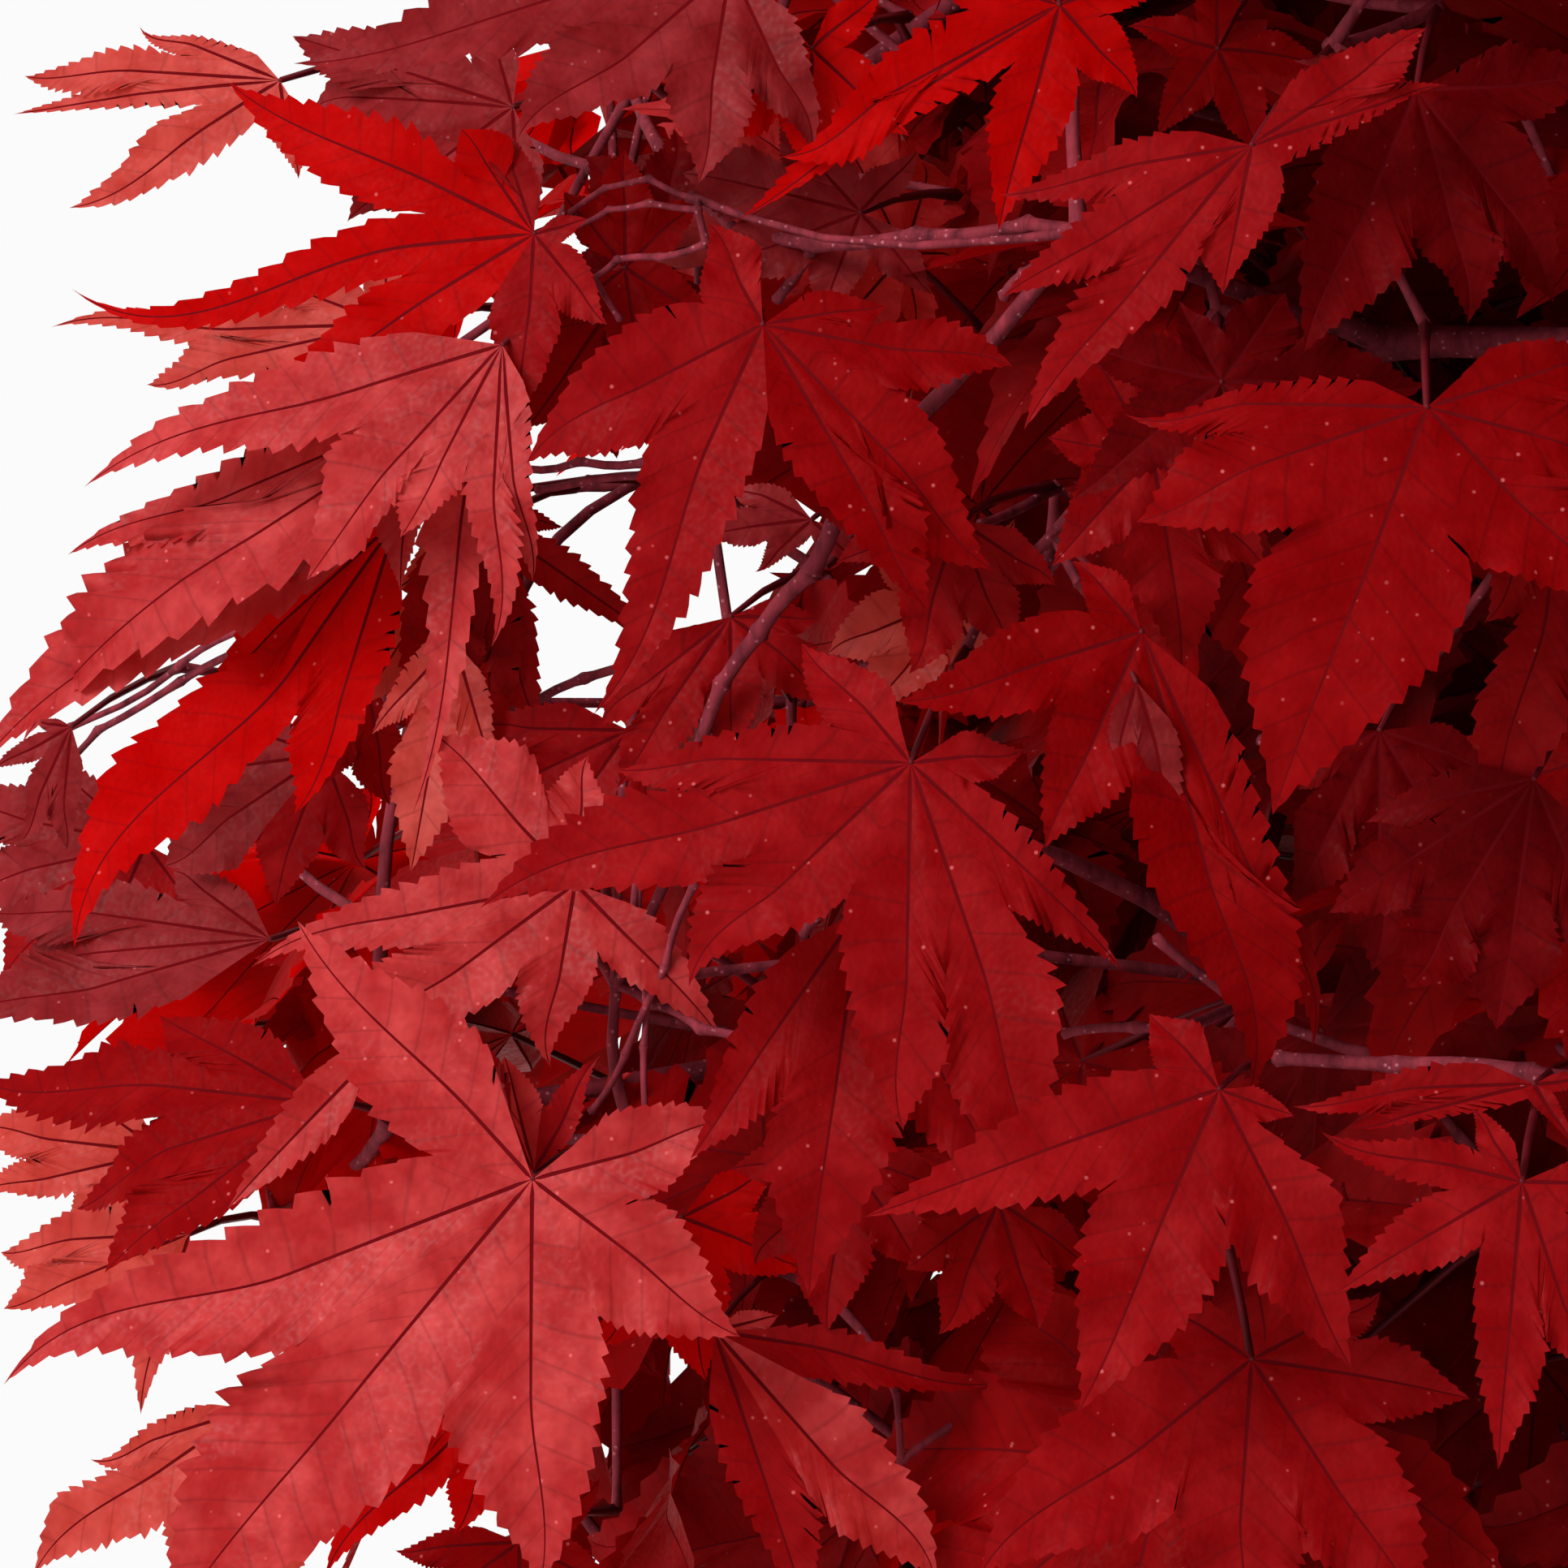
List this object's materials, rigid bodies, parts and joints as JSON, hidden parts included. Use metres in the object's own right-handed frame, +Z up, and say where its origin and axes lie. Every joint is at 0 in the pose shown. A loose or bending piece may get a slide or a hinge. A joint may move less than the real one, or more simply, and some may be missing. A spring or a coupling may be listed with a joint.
{
  "type": "maple bonsai in a pot",
  "caption": "Miniature maple tree in red autumn leaf: tapering trunk with root flare, spreading boughs, masses of star-shaped leaves, in a plain oval pot.",
  "frame": {"origin": "middle of the pot's flat underside, on the surface it stands on", "axes": "+Z up; +X along the oval pot's length; -Y is the tree's front, which the picture's camera faces"},
  "size_m": [0.5048, 0.4523, 0.5466],
  "materials": {
    "glaze": "satin slate-blue glaze on stoneware",
    "soil": "granular baked-clay bonsai soil, matt",
    "bark": "smooth grey-brown maple bark, matt",
    "leaf": "soft thin red autumn leaves, matt"
  },
  "bodies": {
    "root": {"pot": "glaze", "soil": "soil", "trunk": "bark", "bough_high_1": "bark", "bough_high_2": "bark", "bough_high_3": "bark", "bough_low_1": "bark", "bough_low_2": "bark", "bough_low_3": "bark", "bough_low_4": "bark", "bough_mid_1": "bark", "bough_mid_2": "bark", "bough_mid_3": "bark", "bough_mid_4": "bark", "leaves_high_1": "leaf", "leaves_high_2": "leaf", "leaves_high_3": "leaf", "leaves_low_1": "leaf", "leaves_low_2": "leaf", "leaves_low_3": "leaf", "leaves_low_4": "leaf", "leaves_mid_1": "leaf", "leaves_mid_2": "leaf", "leaves_mid_3": "leaf", "leaves_mid_4": "leaf", "leaves_top": "leaf"}
  },
  "joints": []
}
